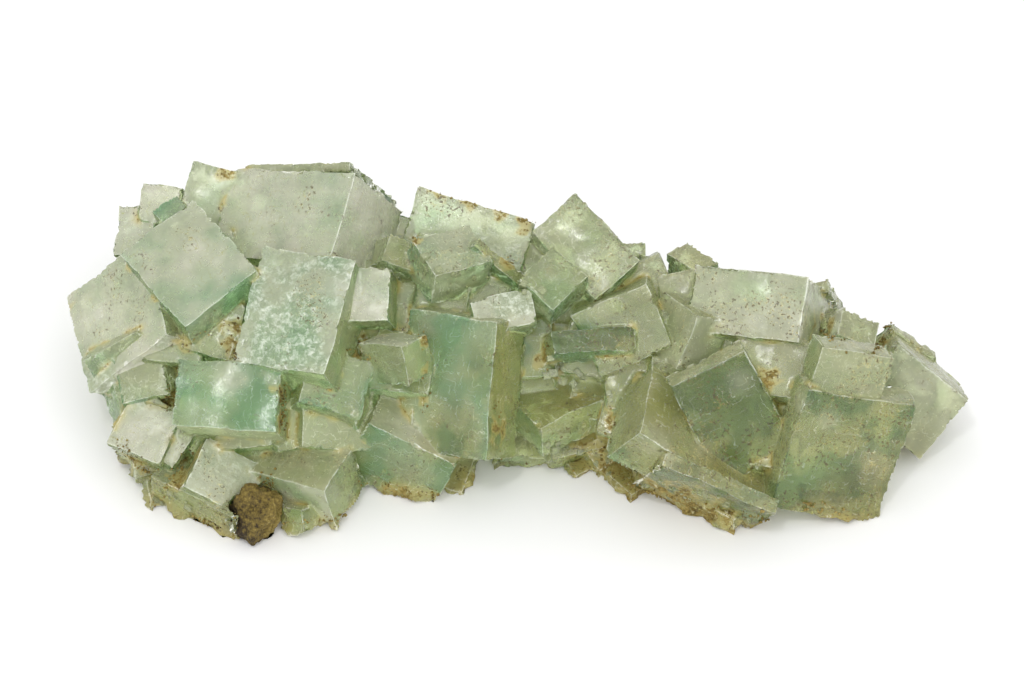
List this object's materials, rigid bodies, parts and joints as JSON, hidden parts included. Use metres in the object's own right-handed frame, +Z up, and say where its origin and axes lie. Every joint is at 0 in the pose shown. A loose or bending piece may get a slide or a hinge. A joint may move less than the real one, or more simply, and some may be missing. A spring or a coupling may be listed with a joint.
{
  "type": "halite crystal cluster",
  "caption": "Long low cluster of intergrown cloudy pale green cubic crystals with clay in the crevices, cut flat underneath to rest on a shelf.",
  "frame": {"origin": "middle of the bounding box at the flat cut that the cluster rests on", "axes": "+X along the cluster's length, towards its thin right-hand tip seen from the front; +Y away from the front; +Z up"},
  "size_m": [0.1834, 0.0872, 0.0509],
  "materials": {
    "crystal": "cloudy, etched",
    "matrix": "rough"
  },
  "bodies": {
    "root": {"crystal_cluster": "crystal", "matrix_lump": "matrix"}
  },
  "joints": []
}
